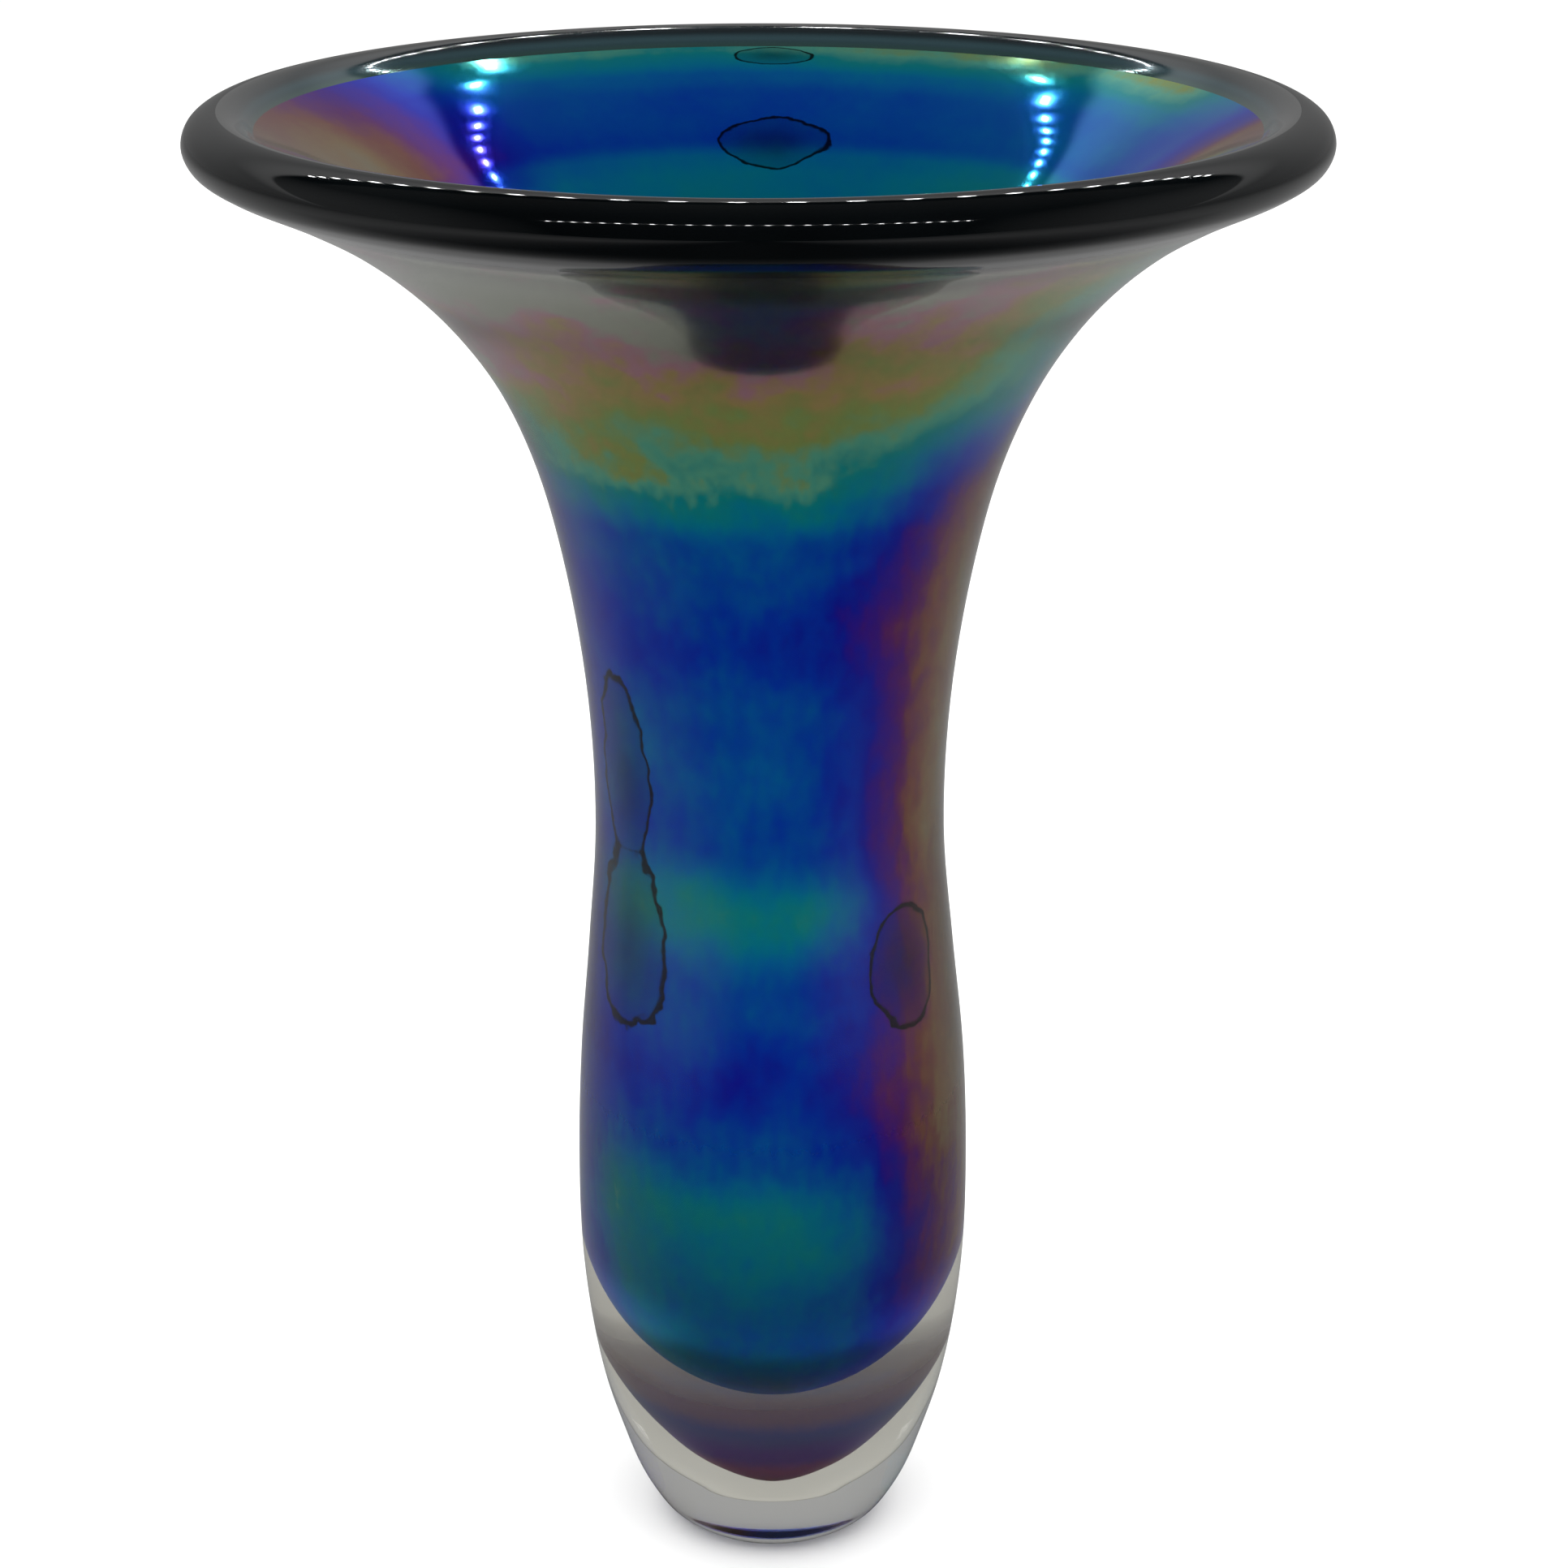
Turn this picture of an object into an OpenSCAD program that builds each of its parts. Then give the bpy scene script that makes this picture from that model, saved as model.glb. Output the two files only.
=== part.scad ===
// Hand blown glass vase: a tall waisted body that opens into a wide flared mouth.
// It is built as it is blown. A dark core bubble is gathered over with clear glass, the fumed
// lustre is laid on that gather, a thick clear casing closes over it, and the lip is wrapped last.
// Every outline runs from the vase's axis or foot up to the one cut where the wall meets the lip.

/* [Size] */
// Overall height, from the table to the top of the lip
vase_h = 280; // [180:5:420]
// Diameter across the lip, as a share of the height
mouth_ratio = 0.717; // [0.6:0.001:0.8]

/* [Wall layers] */
// Height of the lowest point of the lustred gather, as a share of the height
gather_low = 0.0536; // [0.045:0.0001:0.06]
// Height of the lowest point of the dark core
core_low = 0.1196; // [0.11:0.0001:0.125]
// Height of the bottom of the hollow inside
hollow_low = 0.1393; // [0.135:0.0001:0.145]

/* [Smoothness] */
// Short straight steps in each span of an outline
steps = 6; // [4:1:8]

/* [Hidden] */
$fn = 128;

// The stations below are for a vase 280 high and 200.6 across the lip; these two stretch them
study_h = 280;
study_mouth = 200.6;
up = vase_h / study_h;
out = vase_h * mouth_ratio / study_mouth;

// Each station is [radius, height]
// Outside of the casing: ground foot, round heel, full body, waist, then the flare
casing_wall = [
    [18.4, 0], [22.2, 3], [24.9, 7], [27.4, 12], [30.2, 20], [33.2, 30], [35.5, 42], [37.2, 58],
    [37.5, 78], [36.6, 100], [34.5, 122], [32.7, 145], [33.6, 170], [37.2, 195], [42.2, 215],
    [48.6, 230], [55.9, 241], [64.2, 250], [74.3, 258], [85.1, 264.2]];
// Outside of the lustred gather, which hangs well below the core as a blunt point
gather_wall = [
    [7, 18.2], [13.4, 24.2], [19.6, 32.6], [24.8, 43.8], [28.4, 58], [30.2, 78], [30, 100],
    [28.6, 122], [27.6, 145], [28.8, 170], [32.9, 195.8], [38.5, 216.2], [45.5, 231.6],
    [53.3, 243.2], [62.2, 252.2], [72.6, 260.5], [83.8, 266.7]];
// Outside of the dark core, with an egg-shaped end
core_wall = [
    [9.6, 36.4], [17.2, 43], [22.4, 52], [26, 66], [27.6, 84], [27.4, 104], [26.4, 124],
    [25.8, 145], [27.2, 170], [31.3, 196], [37, 216.7], [44.1, 232.3], [51.9, 244.2],
    [60.9, 253.6], [71.5, 262.2], [82.8, 268.7]];
// The hollow inside the core
hollow_wall = [
    [8.4, 41.4], [15.2, 47.6], [20, 57], [23, 70], [24.4, 87], [24.2, 106], [23.2, 125],
    [22.6, 145], [24, 170], [28.4, 196.7], [34.2, 217.6], [41.5, 233.8], [49.5, 246],
    [58.6, 256], [69.4, 265.3], [80.9, 272.6]];
// The rolled edge of the lip, from the underside round to the inside
lip_roll = [
    [96.6, 269.7], [99.2, 271.6], [100.3, 274.4], [99.3, 277.4], [96.6, 279.4], [93.6, 280],
    [90.6, 278.8]];
// The cut at the top of the wall, from its underside to its inside, and where each layer ends on it
cut_under = [92, 267.5];
cut_inside = [87.9, 276.4];
gather_share = 0.3;
core_share = 0.5;
// A point beyond the foot's edge that sets how steeply the heel leaves the table
heel_lead = [15.2, -2];

// A point a given share of the way up the cut
function on_cut(share) = cut_under + (cut_inside - cut_under) * share;

// Point at u along the curve from b to c, whose neighbours are a and d
function chord(p, q) = sqrt(norm(q - p));
function leaving(a, b, c) =
    chord(b, c) * ((b - a) / chord(a, b) - (c - a) / (chord(a, b) + chord(b, c)) + (c - b) / chord(b, c));
function arriving(b, c, d) =
    chord(b, c) * ((c - b) / chord(b, c) - (d - b) / (chord(b, c) + chord(c, d)) + (d - c) / chord(c, d));
function curve_at(a, b, c, d, u) =
    b * (2 * u ^ 3 - 3 * u ^ 2 + 1) + c * (3 * u ^ 2 - 2 * u ^ 3)
    + leaving(a, b, c) * (u ^ 3 - 2 * u ^ 2 + u) + arriving(b, c, d) * (u ^ 3 - u ^ 2);

// Smooth curve through all stations; before and after are the points just beyond its two ends
function smooth(stations, before, after) =
    let (all = concat([before], stations, [after]), last = len(all) - 3)
    concat(
        [for (i = [1:last]) for (k = [0:steps - 1])
            curve_at(all[i - 1], all[i], all[i + 1], all[i + 2], k / steps)],
        [all[last + 1]]);

function end_of(line) = line[len(line) - 1];
function reversed(line) = [for (i = [len(line) - 1:-1:0]) line[i]];
function beyond(p, q) = 2 * q - p;

// Outline of a layer that starts on the axis at height low and ends on the cut
function layer_line(low, wall, share) =
    let (start = [0, low], end = on_cut(share))
    smooth(concat([start], wall, [end]), [-wall[0][0], wall[0][1]], beyond(end_of(wall), end));

casing_line = smooth(concat(casing_wall, [cut_under]), heel_lead, lip_roll[0]);
gather_line = layer_line(gather_low * study_h, gather_wall, gather_share);
core_line = layer_line(core_low * study_h, core_wall, core_share);
hollow_line = layer_line(hollow_low * study_h, hollow_wall, 1);
lip_line = smooth(concat([cut_under], lip_roll, [cut_inside]), end_of(casing_wall), end_of(hollow_wall));

// A solid turned round the vase's axis from a closed outline
module turned(outline) {
    rotate_extrude()
        polygon([for (p = outline) [p[0] * out, p[1] * up]]);
}

module clear_casing() {
    color([0.86, 0.88, 0.84, 0.35])
        turned(concat([[0, 0]], casing_line, reversed(gather_line)));
}

module luster_gather() {
    color([0.45, 0.32, 0.62, 0.6])
        turned(concat(gather_line, reversed(core_line)));
}

module core_bubble() {
    color([0.02, 0.16, 0.42])
        turned(concat(core_line, reversed(hollow_line)));
}

module lip_wrap() {
    color([0.05, 0.07, 0.08])
        turned(lip_line);
}

clear_casing();
luster_gather();
core_bubble();
lip_wrap();
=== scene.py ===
import bmesh
import bpy
import math
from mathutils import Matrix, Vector


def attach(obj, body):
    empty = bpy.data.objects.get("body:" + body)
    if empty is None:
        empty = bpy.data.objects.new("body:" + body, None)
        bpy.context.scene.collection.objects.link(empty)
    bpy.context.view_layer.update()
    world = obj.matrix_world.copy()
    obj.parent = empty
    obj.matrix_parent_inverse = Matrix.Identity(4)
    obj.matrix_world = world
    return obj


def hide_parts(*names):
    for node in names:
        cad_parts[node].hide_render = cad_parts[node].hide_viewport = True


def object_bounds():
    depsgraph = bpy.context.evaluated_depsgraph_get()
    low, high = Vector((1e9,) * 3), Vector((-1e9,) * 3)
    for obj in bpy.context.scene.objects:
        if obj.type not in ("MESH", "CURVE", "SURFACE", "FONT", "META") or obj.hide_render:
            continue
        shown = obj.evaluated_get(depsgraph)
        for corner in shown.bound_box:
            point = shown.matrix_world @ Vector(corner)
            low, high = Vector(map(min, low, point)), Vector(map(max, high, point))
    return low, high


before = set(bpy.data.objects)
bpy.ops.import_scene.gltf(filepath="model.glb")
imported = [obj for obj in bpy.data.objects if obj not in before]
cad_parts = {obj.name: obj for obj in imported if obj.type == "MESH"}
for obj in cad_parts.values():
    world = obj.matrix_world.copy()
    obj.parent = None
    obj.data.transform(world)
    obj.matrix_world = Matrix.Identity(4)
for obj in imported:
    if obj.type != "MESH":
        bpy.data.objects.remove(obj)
cad_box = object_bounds()
scene = bpy.context.scene
vase_low, vase_high = cad_box
vase_height = vase_high.z - vase_low.z

# ---------------------------------------------------------------------------------------------
# Camera and table
# The vase stands on a plain pale table and is seen from a little above its lip. The table is a
# hair below the ground foot, because a foot that touches it would leave no air for the glass.
camera_back = 0.63
camera_side = 0.0022
camera_up = 0.3802
camera_dip = math.radians(19.877)

camera_data = bpy.data.cameras.new("camera")
camera_data.sensor_width = 36.0
camera_data.lens = 82.14
camera = bpy.data.objects.new("camera", camera_data)
camera.location = (camera_side, -camera_back, camera_up)
camera.rotation_euler = (math.pi / 2 - camera_dip, 0.0, 0.0)
scene.collection.objects.link(camera)
scene.camera = camera

table_half = 9.0
table_drop = 0.0001
table_mesh = bpy.data.meshes.new("table")
table_top = vase_low.z - table_drop
table_mesh.from_pydata(
    [(x * table_half, y * table_half, table_top) for x, y in ((-1, -1), (1, -1), (1, 1), (-1, 1))],
    [], [(0, 1, 2, 3)])
table = bpy.data.objects.new("table", table_mesh)
scene.collection.objects.link(table)


def fill(node, inputs):
    """Fills a node's inputs, by name or number, with plain values or with other nodes' outputs."""
    for key, value in inputs.items():
        if isinstance(value, bpy.types.NodeSocket):
            node.id_data.links.new(value, node.inputs[key])
        else:
            node.inputs[key].default_value = value
    return node


def put(tree, kind, inputs=None, **settings):
    """Adds a node of one kind to a tree, with its settings and its inputs."""
    node = tree.nodes.new(kind)
    for key, value in settings.items():
        setattr(node, key, value)
    return fill(node, inputs or {})


def math_of(tree, operation, *values):
    """Output of a math node on one, two or three values."""
    return put(tree, "ShaderNodeMath", dict(enumerate(values)), operation=operation).outputs[0]


def new_material(name):
    """An empty material with its output node, and its tree."""
    material = bpy.data.materials.new(name)
    material.use_nodes = True
    material.node_tree.nodes.clear()
    output = material.node_tree.nodes.new("ShaderNodeOutputMaterial")
    return material, material.node_tree, output


def color_ramp(tree, value, stops, interpolation="LINEAR"):
    """Colour at a value, from (value, colour) stops."""
    node = put(tree, "ShaderNodeValToRGB", {0: value})
    ramp = node.color_ramp
    ramp.interpolation = interpolation
    while len(ramp.elements) < len(stops):
        ramp.elements.new(0.5)
    for element, (at, color) in zip(ramp.elements, stops):
        element.position = at
        element.color = (*color, 1.0)
    return node.outputs["Color"]


def place_on(tree):
    """X, Y and Z of the shaded point, in metres from the foot's centre."""
    coordinates = put(tree, "ShaderNodeTexCoord").outputs["Object"]
    return put(tree, "ShaderNodeSeparateXYZ", {0: coordinates})


def height_on(tree, place):
    """Height above the foot, in millimetres."""
    return math_of(tree, "MULTIPLY", place.outputs["Z"], 1000)


def table_finish():
    """Pale card that is darker through the glass, and nearly black in gloss in front of the vase."""
    bare_color = (0.90, 0.90, 0.89, 1)
    color_through_glass = (0.27, 0.266, 0.245, 1)
    gloss_in_front = (0.01, 0.01, 0.01)
    gloss_away = (0.20, 0.20, 0.20)
    material, tree, output = new_material("table_card")
    light_path = put(tree, "ShaderNodeLightPath")
    place = place_on(tree)
    aside = put(tree, "ShaderNodeMapRange", {
        "Value": math_of(tree, "ABSOLUTE", place.outputs["X"]), "From Min": 0.12, "From Max": 0.6})
    behind = put(tree, "ShaderNodeMapRange", {
        "Value": place.outputs["Y"], "From Min": -0.2, "From Max": 0.2})
    away = math_of(tree, "MAXIMUM", aside.outputs[0], behind.outputs[0])
    gloss = color_ramp(tree, away, [(0.0, gloss_in_front), (1.0, gloss_away)], "EASE")
    bare = put(tree, "ShaderNodeMix", {
        "Factor": light_path.outputs["Is Glossy Ray"], 6: bare_color, 7: gloss}, data_type="RGBA")
    seen = put(tree, "ShaderNodeMix", {
        "Factor": light_path.outputs["Is Transmission Ray"], 6: bare.outputs[2],
        7: color_through_glass}, data_type="RGBA")
    card = put(tree, "ShaderNodeBsdfDiffuse", {"Color": seen.outputs[2]})
    tree.links.new(card.outputs[0], output.inputs["Surface"])
    return material


table_mesh.materials.append(table_finish())

# ---------------------------------------------------------------------------------------------
# Dark core bubble
# The first gather, blown to a thin wall of nearly black glass. Its outside carries the fumed
# metal lustre, and the flare of its inside is the bright iridescent mouth of the vase.


def outline(node):
    """Rings of a turned CAD solid as (radius, 0, height), from its lowest ring outward and round."""
    same_place = 1e-6
    shell = bmesh.new()
    shell.from_mesh(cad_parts[node].data)
    bmesh.ops.remove_doubles(shell, verts=shell.verts, dist=same_place)
    seam = {v for v in shell.verts if abs(v.co.y) < same_place and v.co.x > -same_place}
    line = [min(seam, key=lambda v: (v.co.z, v.co.x))]
    while True:
        beside = [e.other_vert(line[-1]) for e in line[-1].link_edges]
        steps = [v for v in beside if v in seam and v not in line]
        if not steps:
            break
        line.append(max(steps, key=lambda v: v.co.x))
    rings = [Vector((v.co.x, 0.0, v.co.z)) for v in line]
    shell.free()
    return rings


def turning_tree():
    """Geometry Nodes that turn the outline's points into a solid round a slightly leaning axis."""
    waist_from, waist_to = 0.09, 0.15
    mouth_from, mouth_to = 0.225, 0.275
    weld_distance = 2e-6
    crease = math.radians(34)
    tree = bpy.data.node_groups.new("turned_glass", "GeometryNodeTree")
    sockets = tree.interface
    sockets.new_socket("Outline", in_out="INPUT", socket_type="NodeSocketGeometry")
    sockets.new_socket("Segments", in_out="INPUT", socket_type="NodeSocketInt")
    sockets.new_socket("Outer Rings", in_out="INPUT", socket_type="NodeSocketInt")
    sockets.new_socket("Slack", in_out="INPUT", socket_type="NodeSocketFloat")
    sockets.new_socket("Waist Lean", in_out="INPUT", socket_type="NodeSocketFloat")
    sockets.new_socket("Mouth Lean", in_out="INPUT", socket_type="NodeSocketFloat")
    sockets.new_socket("Outside", in_out="INPUT", socket_type="NodeSocketMaterial")
    sockets.new_socket("Inside", in_out="INPUT", socket_type="NodeSocketMaterial")
    sockets.new_socket("Geometry", in_out="OUTPUT", socket_type="NodeSocketGeometry")
    given = put(tree, "NodeGroupInput").outputs
    count = put(tree, "GeometryNodeAttributeDomainSize", {"Geometry": given["Outline"]}, component="MESH")
    across = math_of(tree, "ADD", given["Segments"], 1)
    sheet = put(tree, "GeometryNodeMeshGrid", {
        "Size X": 1.0, "Size Y": 1.0, "Vertices X": count.outputs["Point Count"], "Vertices Y": across})
    index = put(tree, "GeometryNodeInputIndex").outputs[0]
    ring = math_of(tree, "FLOOR", math_of(tree, "DIVIDE", math_of(tree, "ADD", index, 0.5), across))
    step = math_of(tree, "SUBTRACT", index, math_of(tree, "MULTIPLY", ring, across))
    position = put(tree, "GeometryNodeInputPosition").outputs[0]
    station = put(tree, "GeometryNodeSampleIndex", {
        "Geometry": given["Outline"], "Value": position, "Index": ring}, data_type="FLOAT_VECTOR")
    place = put(tree, "ShaderNodeSeparateXYZ", {0: station.outputs[0]})
    turn = math_of(tree, "MULTIPLY", math_of(tree, "DIVIDE", step, given["Segments"]), 2 * math.pi)
    waist = put(tree, "ShaderNodeMapRange", {
        "Value": place.outputs["Z"], "From Min": waist_from, "From Max": waist_to,
        "To Max": given["Waist Lean"]}, interpolation_type="SMOOTHSTEP")
    mouth = put(tree, "ShaderNodeMapRange", {
        "Value": place.outputs["Z"], "From Min": mouth_from, "From Max": mouth_to,
        "To Max": given["Mouth Lean"]}, interpolation_type="SMOOTHSTEP")
    lean = math_of(tree, "ADD", waist.outputs[0], mouth.outputs[0])
    x = math_of(tree, "MULTIPLY_ADD", place.outputs["X"], math_of(tree, "COSINE", turn), lean)
    y = math_of(tree, "MULTIPLY", place.outputs["X"], math_of(tree, "SINE", turn))
    round_point = put(tree, "ShaderNodeCombineXYZ", {0: x, 1: y, 2: place.outputs["Z"]})
    shaped = put(tree, "GeometryNodeSetPosition", {
        "Geometry": sheet.outputs["Mesh"], "Position": round_point.outputs[0]})
    face_ring = math_of(tree, "DIVIDE", math_of(tree, "ADD", index, 0.5), given["Segments"])
    is_outer = put(tree, "FunctionNodeCompare", {
        0: face_ring, 1: math_of(tree, "SUBTRACT", given["Outer Rings"], 1)},
        data_type="FLOAT", operation="LESS_THAN")
    sided = put(tree, "GeometryNodeCaptureAttribute", domain="FACE")
    sided.capture_items.new("BOOLEAN", "Outer side")
    fill(sided, {"Geometry": shaped.outputs[0], "Outer side": is_outer.outputs[0]})
    closed = put(tree, "GeometryNodeMergeByDistance", {
        "Geometry": sided.outputs["Geometry"], "Distance": weld_distance})
    normal = put(tree, "GeometryNodeInputNormal").outputs[0]
    inward = put(tree, "ShaderNodeVectorMath", {
        0: normal, "Scale": math_of(tree, "MULTIPLY", given["Slack"], -1)}, operation="SCALE")
    fitted = put(tree, "GeometryNodeSetPosition", {
        "Geometry": closed.outputs[0], "Offset": inward.outputs[0]})
    smooth = put(tree, "GeometryNodeSetShadeSmooth", {
        "Geometry": fitted.outputs[0], "Shade Smooth": True}, domain="FACE")
    bend = put(tree, "GeometryNodeInputMeshEdgeAngle").outputs["Unsigned Angle"]
    sharp = put(tree, "FunctionNodeCompare", {
        0: bend, 1: crease}, data_type="FLOAT", operation="GREATER_THAN")
    edged = put(tree, "GeometryNodeSetShadeSmooth", {
        "Geometry": smooth.outputs[0], "Selection": sharp.outputs[0], "Shade Smooth": False}, domain="EDGE")
    real = put(tree, "GeometryNodeRealizeInstances", {"Geometry": edged.outputs[0]})
    facing = put(tree, "GeometryNodeFlipFaces", {"Mesh": real.outputs[0]})
    inside = put(tree, "GeometryNodeSetMaterial", {
        "Geometry": facing.outputs[0], "Material": given["Inside"]})
    outside = put(tree, "GeometryNodeSetMaterial", {
        "Geometry": inside.outputs[0], "Selection": sided.outputs["Outer side"],
        "Material": given["Outside"]})
    put(tree, "NodeGroupOutput", {"Geometry": outside.outputs[0]})
    return tree


turned_glass = turning_tree()
rim_lean = -0.0017
waist_lean = -0.0005
joint_slack = 0.00003


def turned(name, node, outside, inside, rings, slack, segments=256):
    """A closed turned piece of glass that stands for a CAD node."""
    outer_rings = max(range(len(rings)), key=lambda i: rings[i].z) + 1
    line = bpy.data.meshes.new(name + "_outline")
    line.from_pydata(rings, [], [])
    raw = bpy.data.objects.new(name + "_raw", line)
    scene.collection.objects.link(raw)
    modifier = raw.modifiers.new("turned", "NODES")
    modifier.node_group = turned_glass
    wanted = {
        "Segments": segments, "Outer Rings": outer_rings, "Slack": slack, "Waist Lean": waist_lean,
        "Mouth Lean": rim_lean, "Outside": outside, "Inside": inside}
    for item in turned_glass.interface.items_tree:
        if item.in_out == "INPUT" and item.name in wanted:
            modifier[item.identifier] = wanted[item.name]
    bpy.context.view_layer.update()
    evaluated = raw.evaluated_get(bpy.context.evaluated_depsgraph_get())
    mesh = bpy.data.meshes.new_from_object(evaluated)
    mesh.name = name
    piece = bpy.data.objects.new(name, mesh)
    scene.collection.objects.link(piece)
    bpy.data.objects.remove(raw)
    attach(piece, "root")
    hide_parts(node)
    return piece


def lustre_group():
    """Colours of a thin metal film, by how thick it is, with clouds in it and a fine upright grain."""
    tree = bpy.data.node_groups.new("fumed_lustre", "ShaderNodeTree")
    sockets = tree.interface
    sockets.new_socket("Film", in_out="INPUT", socket_type="NodeSocketFloat")
    sockets.new_socket("Clouds", in_out="INPUT", socket_type="NodeSocketFloat")
    sockets.new_socket("Grain", in_out="INPUT", socket_type="NodeSocketFloat")
    sockets.new_socket("Strength", in_out="INPUT", socket_type="NodeSocketFloat")
    sockets.new_socket("Color", in_out="OUTPUT", socket_type="NodeSocketColor")
    sockets.new_socket("Grain", in_out="OUTPUT", socket_type="NodeSocketFloat")
    given = put(tree, "NodeGroupInput").outputs
    place = put(tree, "ShaderNodeTexCoord").outputs["Object"]
    wide = put(tree, "ShaderNodeMapping", {"Vector": place, "Scale": (42, 42, 48)})
    clouds = put(tree, "ShaderNodeTexNoise", {
        "Vector": wide.outputs[0], "Scale": 1.0, "Detail": 6.0, "Roughness": 0.58})
    upright = put(tree, "ShaderNodeMapping", {"Vector": place, "Scale": (420, 420, 160)})
    grain = put(tree, "ShaderNodeTexNoise", {
        "Vector": upright.outputs[0], "Scale": 1.0, "Detail": 4.0, "Roughness": 0.62})
    cloud_swing = math_of(tree, "SUBTRACT", clouds.outputs[0], 0.5)
    cloudy = math_of(tree, "MULTIPLY_ADD", cloud_swing, given["Clouds"], given["Film"])
    grain_swing = math_of(tree, "SUBTRACT", grain.outputs[0], 0.5)
    grainy = math_of(tree, "MULTIPLY_ADD", grain_swing, given["Grain"], cloudy)
    film_colors = [
        (0.00, (0.240, 0.230, 0.150)), (0.08, (0.260, 0.160, 0.070)), (0.16, (0.220, 0.070, 0.060)),
        (0.24, (0.130, 0.012, 0.170)), (0.32, (0.055, 0.004, 0.320)), (0.40, (0.004, 0.010, 0.460)),
        (0.48, (0.000, 0.040, 0.540)), (0.56, (0.000, 0.095, 0.520)), (0.64, (0.000, 0.170, 0.500)),
        (0.72, (0.000, 0.250, 0.420)), (0.79, (0.004, 0.290, 0.320)), (0.85, (0.110, 0.420, 0.310)),
        (0.90, (0.250, 0.340, 0.100)), (0.94, (0.400, 0.290, 0.115)), (0.97, (0.440, 0.210, 0.310)),
        (1.00, (0.330, 0.355, 0.315))]
    colors = color_ramp(tree, grainy, film_colors)
    lit = put(tree, "ShaderNodeVectorMath", {0: colors, "Scale": given["Strength"]}, operation="SCALE")
    put(tree, "NodeGroupOutput", {"Color": lit.outputs[0], 1: grain.outputs[0]})
    return tree


def level_ramp(tree, value, stops, low=0.0, high=1.0):
    """Number at a value, eased between (value, number) stops, over the values from low to high."""
    share = put(tree, "ShaderNodeMapRange", {"Value": value, "From Min": low, "From Max": high}).outputs[0]
    greys = [((at - low) / (high - low), (level, level, level)) for at, level in stops]
    return color_ramp(tree, share, greys, "EASE")


def round_angle(tree, place):
    """Degrees round the vase: 0 at the front, 90 on its right, -90 on its left."""
    turn = math_of(tree, "ARCTAN2", place.outputs["X"], math_of(tree, "MULTIPLY", place.outputs["Y"], -1))
    return math_of(tree, "MULTIPLY", turn, 180 / math.pi)


def tide_marks(tree, angle, height, marks):
    """Share of the lustre left by thin dark tide marks round ovals at (degrees, mm, half sizes)."""
    place = put(tree, "ShaderNodeTexCoord").outputs["Object"]
    wobble = put(tree, "ShaderNodeTexNoise", {
        "Vector": place, "Scale": 70.0, "Detail": 4.0, "Roughness": 0.6}).outputs[0]
    off_every_oval = 9.0
    raggedness = 0.9
    nearest = off_every_oval
    for mark_angle, mark_height, half_angle, half_height in marks:
        along = math_of(tree, "DIVIDE", math_of(tree, "SUBTRACT", angle, mark_angle), half_angle)
        up = math_of(tree, "DIVIDE", math_of(tree, "SUBTRACT", height, mark_height), half_height)
        out = math_of(tree, "SQRT", math_of(
            tree, "ADD", math_of(tree, "MULTIPLY", along, along), math_of(tree, "MULTIPLY", up, up)))
        nearest = math_of(tree, "MINIMUM", nearest, out)
    swing = math_of(tree, "SUBTRACT", wobble, 0.5)
    ragged = math_of(tree, "MULTIPLY_ADD", swing, raggedness, nearest)
    return level_ramp(tree, ragged, [
        (0.0, 0.45), (0.86, 0.72), (0.92, 0.06), (0.96, 0.06), (1.00, 1.0), (2.0, 1.0)], 0, 2)


lustre = lustre_group()


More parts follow.
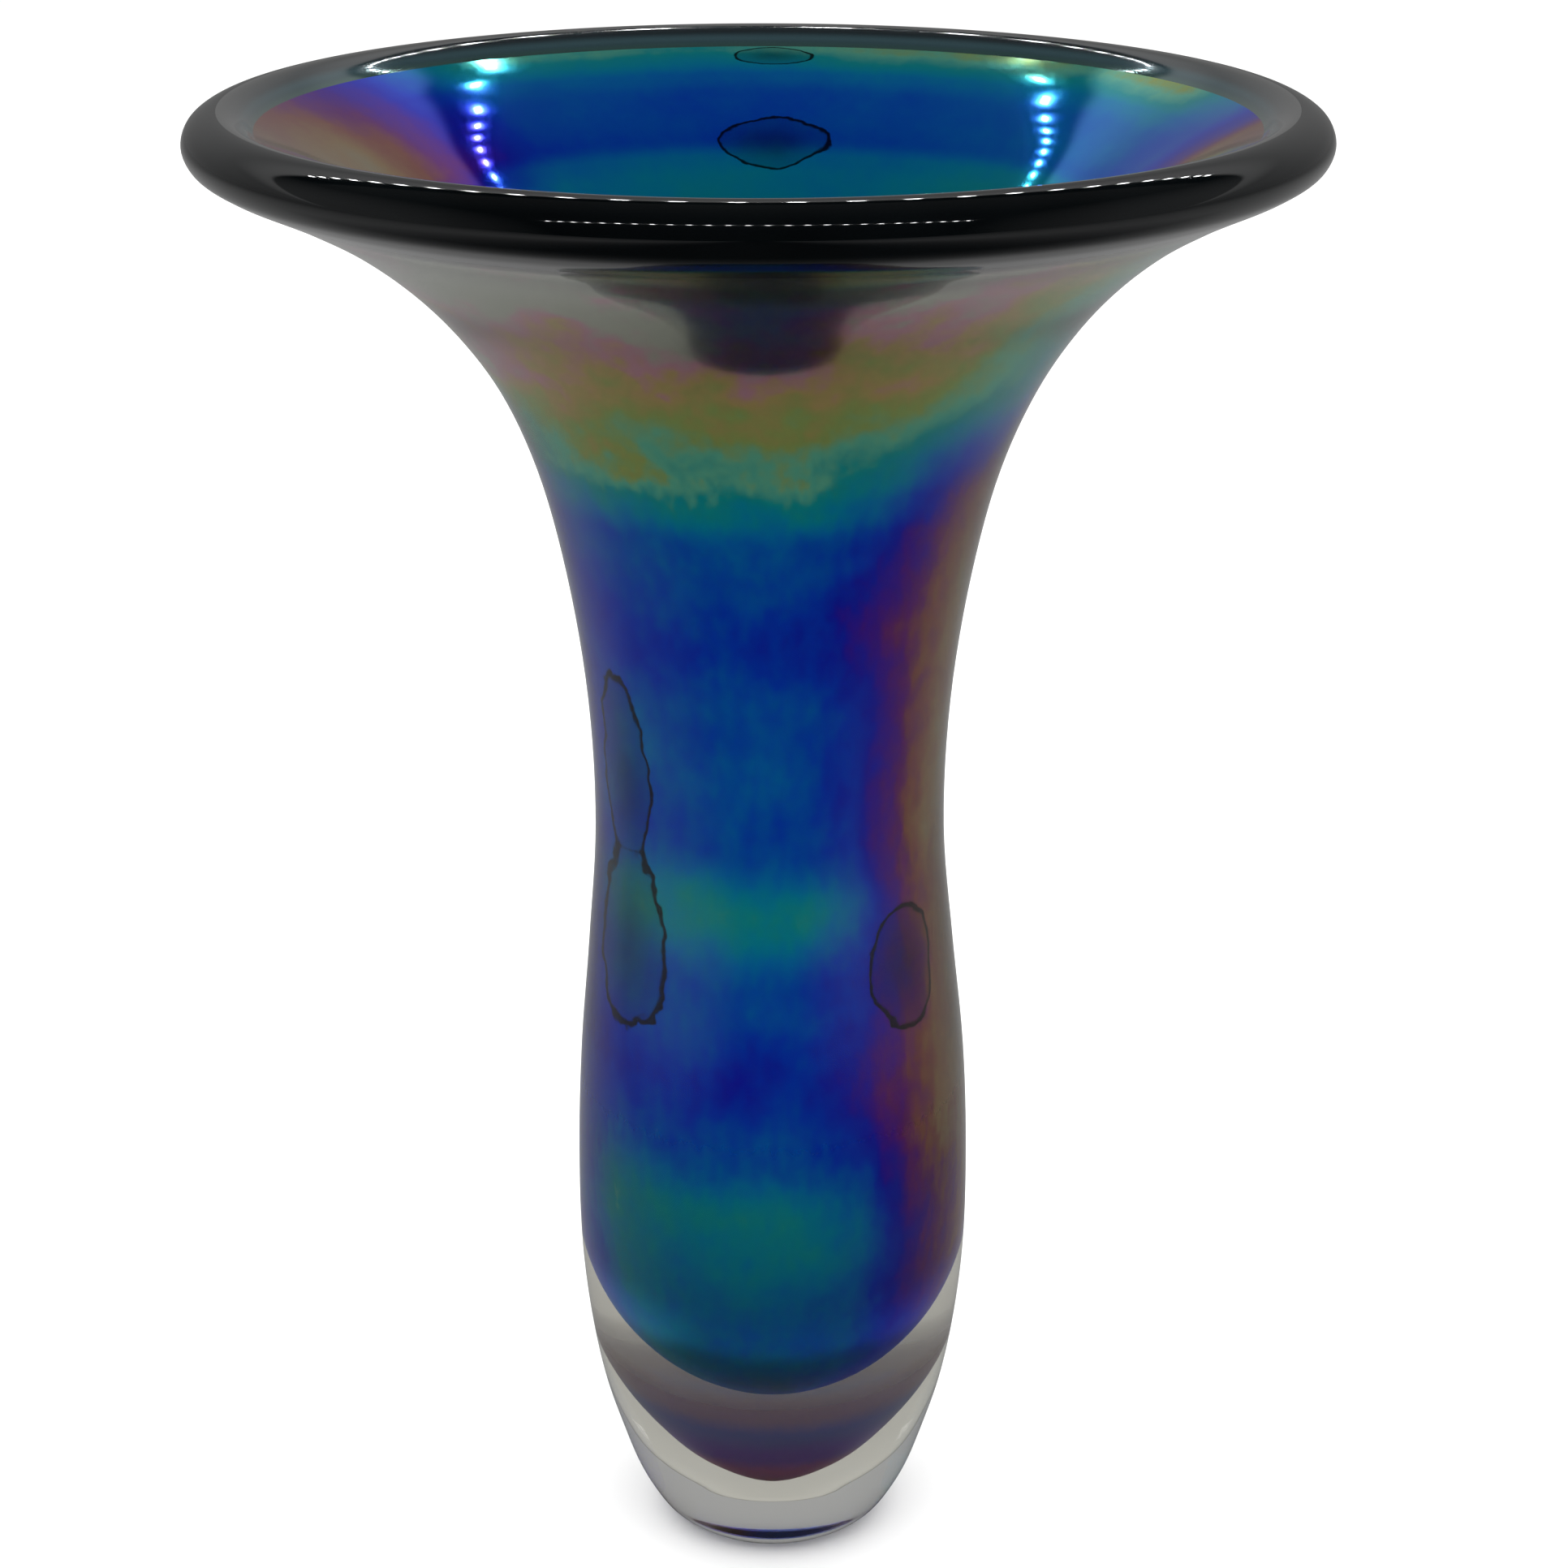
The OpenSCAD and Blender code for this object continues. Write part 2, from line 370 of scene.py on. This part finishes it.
def wall_finish():
    """Fumed lustre on the outside of the core: blue and teal bands, purple to olive round the right."""
    usual_film = 0.52
    brightness = 2.25
    material, tree, output = new_material("core_wall_lustre")
    place = place_on(tree)
    height = height_on(tree, place)
    bands = level_ramp(tree, height, [
        (36, 0.73), (56, 0.68), (76, 0.75), (92, 0.54), (103, 0.46), (121, 0.55), (136, 0.76), (150, 0.55),
        (176, 0.56), (190, 0.46), (209, 0.55), (216, 0.74), (222, 0.86), (234, 0.90), (242, 0.94),
        (250, 0.97), (262, 1.0)], 0, 280)
    angle = round_angle(tree, place)
    around = level_ramp(tree, angle, [
        (-180, 0.42), (-120, 0.36), (-90, 0.42), (-60, 0.50), (5, 0.50), (30, 0.40), (45, 0.28), (60, 0.17),
        (76, 0.08), (95, 0.02), (130, 0.10), (180, 0.42)], -180, 180)
    shift = math_of(tree, "SUBTRACT", around, 0.5)
    turning = level_ramp(tree, height, [
        (34, 0.35), (60, 0.80), (90, 1.0), (213, 1.0), (238, 0.25), (280, 0.2)], 0, 280)
    calm = level_ramp(tree, angle, [
        (-180, 0.5), (-90, 0.6), (-65, 0.0), (28, 0.0), (58, 0.8), (120, 0.8), (180, 0.5)], -180, 180)
    relief = math_of(tree, "SUBTRACT", 1.0, math_of(tree, "MULTIPLY", calm, turning))
    banding = math_of(tree, "SUBTRACT", bands, usual_film)
    level = math_of(tree, "MULTIPLY_ADD", banding, relief, usual_film)
    film = math_of(tree, "MULTIPLY_ADD", shift, turning, level)
    film_colors = put(tree, "ShaderNodeGroup", {}, node_tree=lustre)
    marks = tide_marks(tree, angle, height, [(-62, 161, 16, 18), (-60, 128, 21, 19), (54, 123, 17, 13)])
    # Painted light: the lustre's colour is made up to two and a half times brighter towards the core's
    # downward-facing bottom end, standing in for light that this shaded underside does not get.
    painted_light_low_end = level_ramp(tree, height, [(34, 1.0), (44, 0.72), (60, 0.45), (280, 0.40)], 0, 280)
    strength = math_of(tree, "MULTIPLY", math_of(tree, "MULTIPLY", painted_light_low_end, brightness), marks)
    fill(film_colors, {
        "Film": film, "Clouds": 0.34, "Grain": math_of(tree, "MULTIPLY", turning, 0.20),
        "Strength": strength})
    softness = level_ramp(tree, height, [
        (34, 0.34), (70, 0.34), (110, 0.16), (205, 0.12), (225, 0.05)], 0, 280)
    rough = math_of(tree, "MULTIPLY_ADD", film_colors.outputs["Grain"], 0.06, softness)
    shader = put(tree, "ShaderNodeBsdfPrincipled", {
        "Base Color": film_colors.outputs["Color"], "Roughness": rough, "Metallic": 0.92,
        "Specular IOR Level": 0.0})
    tree.links.new(shader.outputs[0], output.inputs["Surface"])
    return material


def mouth_finish():
    """Fumed lustre on the inside of the flare, brighter and glossier because it is bare to the air."""
    usual_film = 0.55
    brightness = 1.15
    material, tree, output = new_material("mouth_lustre")
    place = place_on(tree)
    height = height_on(tree, place)
    bands = level_ramp(tree, height, [
        (60, 0.50), (200, 0.60), (240, 0.74), (256, 0.70), (259, 0.66), (262, 0.51), (265, 0.53),
        (269, 0.54), (272, 0.62), (274, 0.74), (276, 0.82)], 60, 280)
    angle = round_angle(tree, place)
    around = level_ramp(tree, angle, [
        (-180, 0.50), (-140, 0.51), (-127, 0.36), (-118, 0.22), (-108, 0.12), (-98, 0.03), (-60, 0.0),
        (0, 0.30), (70, 0.0), (87, 0.04), (94, 0.28), (102, 0.50), (116, 0.57), (140, 0.56), (180, 0.50)],
        -180, 180)
    relief = level_ramp(tree, angle, [
        (-180, 1.0), (-135, 1.0), (-115, 0.35), (-60, 0.15), (60, 0.15), (92, 0.25), (120, 1.0),
        (180, 1.0)], -180, 180)
    banding = math_of(tree, "SUBTRACT", bands, usual_film)
    level = math_of(tree, "MULTIPLY_ADD", banding, relief, usual_film)
    film = math_of(tree, "ADD", level, math_of(tree, "SUBTRACT", around, 0.5))
    off_back = math_of(tree, "SUBTRACT", 180, math_of(tree, "ABSOLUTE", angle))
    marks = tide_marks(tree, off_back, height, [(0, 261.5, 9, 4.2), (0, 275.0, 6, 1.3)])
    film_colors = put(tree, "ShaderNodeGroup", {}, node_tree=lustre)
    fill(film_colors, {
        "Film": film, "Clouds": 0.18, "Grain": 0.05,
        "Strength": math_of(tree, "MULTIPLY", marks, brightness)})
    shader = put(tree, "ShaderNodeBsdfPrincipled", {
        "Base Color": film_colors.outputs["Color"], "Roughness": 0.07, "Metallic": 0.85,
        "Coat Weight": 0.35, "Coat Roughness": 0.02})
    tree.links.new(shader.outputs[0], output.inputs["Surface"])
    return material


core_outline = outline("core_bubble")
core = turned("core_glass", "core_bubble", wall_finish(), mouth_finish(), core_outline,
              slack=joint_slack)

# ---------------------------------------------------------------------------------------------
# Lustred gather
# A second gather of clear glass over the core, fumed again on its outside. The film is almost
# clear over the body and shows as a veil of mauve and purple where it hangs below the core.


def clear_joint():
    """Where two gathers of the same glass have fused: light goes straight on."""
    material, tree, output = new_material("fused_joint")
    shader = put(tree, "ShaderNodeBsdfPrincipled", {
        "Base Color": (1, 1, 1, 1), "Roughness": 0.0, "IOR": 1.0, "Transmission Weight": 1.0})
    tree.links.new(shader.outputs[0], output.inputs["Surface"])
    return material


fused_joint = clear_joint()


def veil_finish():
    """Thin film that hides little over the body and most at the hanging point of the gather."""
    grain_reach = 2.0
    tint_from, tint_to = 14, 74
    material, tree, output = new_material("gather_veil")
    place = place_on(tree)
    height = height_on(tree, place)
    grain = put(tree, "ShaderNodeGroup", {}, node_tree=lustre)
    swing = math_of(tree, "SUBTRACT", grain.outputs["Grain"], 0.5)
    wander = math_of(tree, "MULTIPLY_ADD", swing, grain_reach, height)
    share = put(tree, "ShaderNodeMapRange", {
        "Value": wander, "From Min": tint_from, "From Max": tint_to}).outputs[0]
    tint = color_ramp(tree, share, [
        (0.00, (0.34, 0.12, 0.10)), (0.07, (0.30, 0.07, 0.18)), (0.14, (0.11, 0.05, 0.32)),
        (0.24, (0.08, 0.10, 0.30)), (0.32, (0.24, 0.15, 0.20)), (0.44, (0.42, 0.27, 0.20)),
        (1.00, (0.42, 0.34, 0.28))], "EASE")
    cover = level_ramp(tree, height, [
        (15, 0.90), (24, 0.86), (30, 0.78), (34, 0.70), (37, 0.45), (40, 0.08), (46, 0.01),
        (280, 0.005)], 0, 280)
    shader = put(tree, "ShaderNodeBsdfPrincipled", {
        "Base Color": tint, "Roughness": 0.4, "Metallic": 0.3, "Alpha": cover})
    tree.links.new(shader.outputs[0], output.inputs["Surface"])
    return material


gather = turned("gather_glass", "luster_gather", veil_finish(), fused_joint, outline("luster_gather"),
                slack=joint_slack)

# ---------------------------------------------------------------------------------------------
# Clear casing
# The thick last gather of clear crystal, marvered and blown to the outside shape. Its foot was
# ground and polished flat, and its top is fused to the lip.


def crystal_finish():
    """Clear crystal with a faint smoky warmth and the slight waver of hand work."""
    material, tree, output = new_material("clear_crystal")
    place = put(tree, "ShaderNodeTexCoord").outputs["Object"]
    stretched = put(tree, "ShaderNodeMapping", {"Vector": place, "Scale": (14, 14, 9)})
    waver = put(tree, "ShaderNodeTexNoise", {"Vector": stretched.outputs[0], "Scale": 1.0, "Detail": 1.0})
    bump = put(tree, "ShaderNodeBump", {"Strength": 0.02, "Distance": 0.002, "Height": waver.outputs[0]})
    shader = put(tree, "ShaderNodeBsdfPrincipled", {
        "Base Color": (0.95, 0.95, 0.915, 1), "Roughness": 0.0, "IOR": 1.5, "Transmission Weight": 1.0,
        "Normal": bump.outputs[0]})
    tree.links.new(shader.outputs[0], output.inputs["Surface"])
    return material


casing_rings = outline("clear_casing")
foot_radius = casing_rings[0].x
foot_edge_width = 0.0004
foot_edge = Vector((foot_radius - foot_edge_width, 0.0, vase_low.z))
foot_middle = Vector((0.0, 0.0, vase_low.z))
casing = turned("casing_glass", "clear_casing", crystal_finish(), fused_joint,
                [foot_middle, foot_edge] + casing_rings, slack=0.0)

# ---------------------------------------------------------------------------------------------
# Lip wrap
# A thick trail of nearly black glass wound round the mouth and melted in, so its edge is one
# smooth roll with a high fire polish.


def lip_finish():
    """Nearly black glass with a fire polish."""
    material, tree, output = new_material("lip_black_glass")
    place = put(tree, "ShaderNodeTexCoord").outputs["Object"]
    smoke = put(tree, "ShaderNodeTexNoise", {"Vector": place, "Scale": 30.0, "Detail": 2.0})
    tint = color_ramp(tree, smoke.outputs[0], [
        (0.3, (0.0003, 0.0006, 0.0008)), (0.7, (0.001, 0.0015, 0.0018))])
    shader = put(tree, "ShaderNodeBsdfPrincipled", {
        "Base Color": tint, "Roughness": 0.04, "IOR": 1.52})
    tree.links.new(shader.outputs[0], output.inputs["Surface"])
    return material


def lip_inside_finish():
    """The inner side of the lip, where the mouth's lustre thins away to bare black glass."""
    lustre_end = 276.2
    lip_top = 280.0
    material, tree, output = new_material("lip_inner_lustre")
    place = place_on(tree)
    height = height_on(tree, place)
    share = put(tree, "ShaderNodeMapRange", {
        "Value": height, "From Min": lustre_end, "From Max": lip_top}).outputs[0]
    tint = color_ramp(tree, share, [
        (0.0, (0.05, 0.11, 0.10)), (0.35, (0.03, 0.06, 0.07)), (0.75, (0.006, 0.010, 0.012)),
        (1.0, (0.002, 0.003, 0.003))], "EASE")
    metal = level_ramp(tree, share, [(0.0, 0.8), (0.7, 0.3), (1.0, 0.0)])
    shader = put(tree, "ShaderNodeBsdfPrincipled", {
        "Base Color": tint, "Roughness": 0.10, "Metallic": metal, "Coat Weight": 1.0,
        "Coat Roughness": 0.02})
    tree.links.new(shader.outputs[0], output.inputs["Surface"])
    return material


lip_rings = outline("lip_wrap")
lip = turned("lip_glass", "lip_wrap", lip_finish(), lip_inside_finish(), lip_rings + lip_rings[:1],
             slack=joint_slack)

# ---------------------------------------------------------------------------------------------
# Studio light
# One wide soft box overhead, and two rows of small square lamps, one behind the vase and one in
# front, that show only as highlights. The room has one brightness for the eye, another through
# glass and another in reflections, so the lustre isn't washed out. It is not a plain even room.


def soft_box(name, place, size, aim, power):
    """A rectangular soft light that the camera doesn't see."""
    data = bpy.data.lights.new(name, "AREA")
    data.shape = "RECTANGLE"
    data.size, data.size_y = size
    data.energy = power
    light = bpy.data.objects.new(name, data)
    light.location = place
    light.rotation_euler = (Vector(aim) - Vector(place)).to_track_quat("-Z", "Y").to_euler()
    light.visible_camera = False
    scene.collection.objects.link(light)
    return light


middle = (0.0, 0.0, vase_height / 2)
overhead_place = (0.0, -0.2, 1.6)
overhead_size = (2.6, 2.6)
overhead_power = 55
overhead = soft_box("overhead", overhead_place, overhead_size, middle, overhead_power)
overhead.visible_glossy = False

lamp_rows = {"back": (0.56, 0.90), "front": (-0.60, 0.90)}
lamp_count = 26
lamp_step = 0.046
lamp_size = 0.013
lamp_power = 0.045
for row, (back, up) in lamp_rows.items():
    for number in range(lamp_count):
        across = (number - (lamp_count - 1) / 2) * lamp_step
        lamp = soft_box(
            f"{row}_lamp_{number}", (across, back, up), (lamp_size, lamp_size), middle, lamp_power)
        lamp.visible_diffuse = False
        lamp.visible_transmission = False


def room():
    """Pale to the eye and the table, dimmer through the glass. In gloss, dark in front, paler behind."""
    bare_level = 0.90
    level_through_glass = 0.39
    side_gloss = 0.2
    world = bpy.data.worlds.new("room")
    world.use_nodes = True
    tree = world.node_tree
    tree.nodes.clear()
    toward = put(tree, "ShaderNodeSeparateXYZ", {0: put(tree, "ShaderNodeTexCoord").outputs["Generated"]})
    tilt = math_of(tree, "ARCTAN2", toward.outputs["Y"], toward.outputs["Z"])
    gloss = level_ramp(tree, math_of(tree, "MULTIPLY", tilt, 180 / math.pi), [
        (-90, 0.01), (-20, 0.02), (34, 0.05), (37, 0.004), (44, 0.004), (47, 0.52), (62, 0.26),
        (90, 0.20)], -90, 90)
    aside = put(tree, "ShaderNodeMapRange", {
        "Value": math_of(tree, "ABSOLUTE", toward.outputs["X"]), "From Min": 0.6, "From Max": 0.95,
        "To Max": side_gloss})
    gloss = math_of(tree, "MAXIMUM", gloss, aside.outputs[0])
    light_path = put(tree, "ShaderNodeLightPath")
    bare = put(tree, "ShaderNodeMix", {
        "Factor": light_path.outputs["Is Glossy Ray"], 2: bare_level, 3: gloss})
    level = put(tree, "ShaderNodeMix", {
        "Factor": light_path.outputs["Is Transmission Ray"], 2: bare.outputs[0],
        3: level_through_glass})
    background = put(tree, "ShaderNodeBackground", {"Color": (1, 1, 1, 1), "Strength": level.outputs[0]})
    output = tree.nodes.new("ShaderNodeOutputWorld")
    tree.links.new(background.outputs[0], output.inputs["Surface"])
    return world


scene.world = room()
scene.world.cycles.sampling_method = "NONE"
scene.view_settings.view_transform = "Standard"
scene.cycles.max_bounces = 24
scene.cycles.transmission_bounces = 20
scene.cycles.transparent_max_bounces = 32
scene.cycles.glossy_bounces = 8
